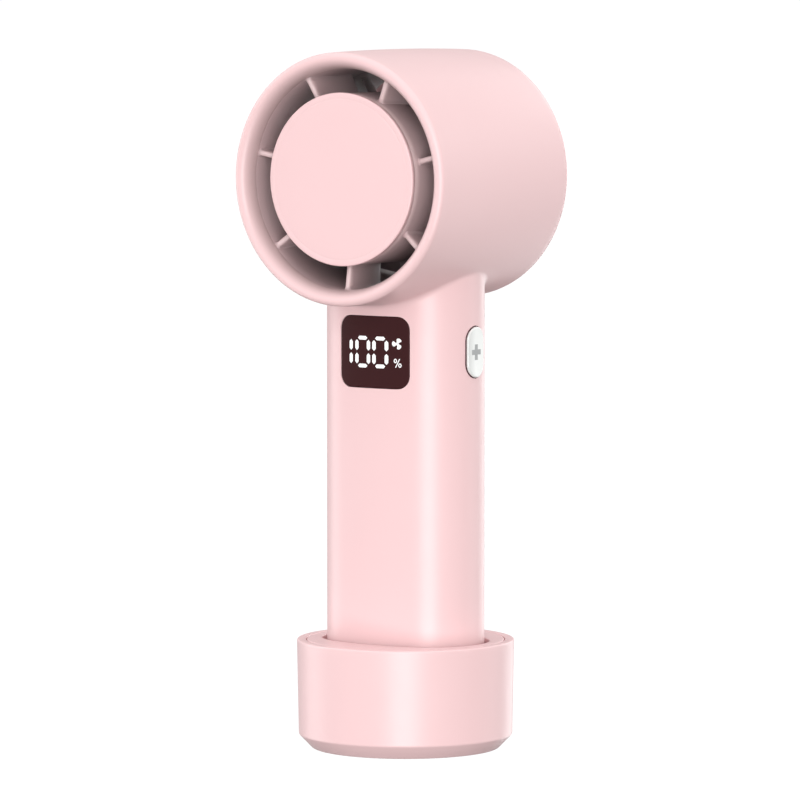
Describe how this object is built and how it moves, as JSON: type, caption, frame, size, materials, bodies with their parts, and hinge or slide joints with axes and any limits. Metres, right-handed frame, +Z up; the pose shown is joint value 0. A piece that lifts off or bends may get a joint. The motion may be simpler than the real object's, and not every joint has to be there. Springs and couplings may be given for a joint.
{
  "type": "handheld electric fan",
  "caption": "Handheld ducted fan: drum head with outlet vanes and hub disc, oval handle with display and side buttons, standing in a round weighted stand.",
  "frame": {"origin": "middle of the stand's flat underside, on the handle's axis", "axes": "+Z up along the handle, -Y the way the air leaves, +X the side with the plus button"},
  "size_m": [0.067, 0.0607, 0.1853],
  "materials": {
    "pink_plastic": "satin moulded, fine texture",
    "white_gloss": "polished",
    "grey_print": "printed mark",
    "dark_lens": "smoked window",
    "display_light": "lit light guide",
    "white_plastic": "moulded",
    "circuit_board": "solder mask",
    "switch_body": "moulded",
    "black_insulation": "cable jacket",
    "cell_wrap": "shrink wrap",
    "steel": "plated",
    "weight_steel": "zinc plated",
    "nickel": "nickel strip",
    "laminations": "stacked sheet",
    "magnet": "sintered",
    "aluminium": "turned",
    "copper": "enamelled wire",
    "silicone": "matte"
  },
  "bodies": {
    "stand": {"dock_cup": "pink_plastic", "dock_insert": "pink_plastic", "socket_pads": "silicone", "dock_weight": "weight_steel", "dock_screws": "steel", "foot_pad": "silicone"},
    "fan": {"outer_shell": "pink_plastic", "rear_grille": "pink_plastic", "stator_vanes": "pink_plastic", "hub_cap": "pink_plastic", "impeller_shroud": "pink_plastic", "motor_bearings": "steel", "shaft_clip": "steel", "motor_bracket": "aluminium", "motor_screws": "steel", "stator_core": "laminations", "motor_coils": "copper", "motor_board": "circuit_board", "motor_cable": "black_insulation", "display_lens": "dark_lens", "display_segments": "display_light", "display_frame": "white_plastic", "display_board": "circuit_board", "control_board": "circuit_board", "button_switches": "switch_body", "board_screws": "steel", "charge_board": "circuit_board", "usb_socket": "steel", "battery_cell_left": "cell_wrap", "battery_cell_right": "cell_wrap", "battery_cradle": "white_plastic", "cell_strips": "nickel", "battery_leads": "black_insulation", "bottom_cap": "pink_plastic", "cap_screws": "steel"},
    "rotor": {"impeller": "pink_plastic", "impeller_nose": "pink_plastic", "rotor_bell": "steel", "magnet_ring": "magnet", "motor_shaft": "steel"},
    "plus_key": {"plus_button": "white_gloss", "plus_mark": "grey_print"},
    "minus_key": {"minus_button": "white_gloss", "minus_mark": "grey_print"}
  },
  "joints": [
    {"name": "fan_lift", "type": "slide", "parent": "stand", "child": "fan", "axis": [0, 0, 1], "range_m": [0, 0.04]},
    {"name": "impeller_spin", "type": "hinge", "parent": "fan", "child": "rotor", "pos_m": [0, 0, 0.1518], "axis": [0, 1, 0], "continuous": true},
    {"name": "plus_press", "type": "slide", "parent": "fan", "child": "plus_key", "axis": [-1, 0, 0], "range_m": [0, 0.0005], "stiffness_N_per_m": 800, "springref_m": -0.0005},
    {"name": "minus_press", "type": "slide", "parent": "fan", "child": "minus_key", "axis": [1, 0, 0], "range_m": [0, 0.0005], "stiffness_N_per_m": 800, "springref_m": -0.0005}
  ]
}
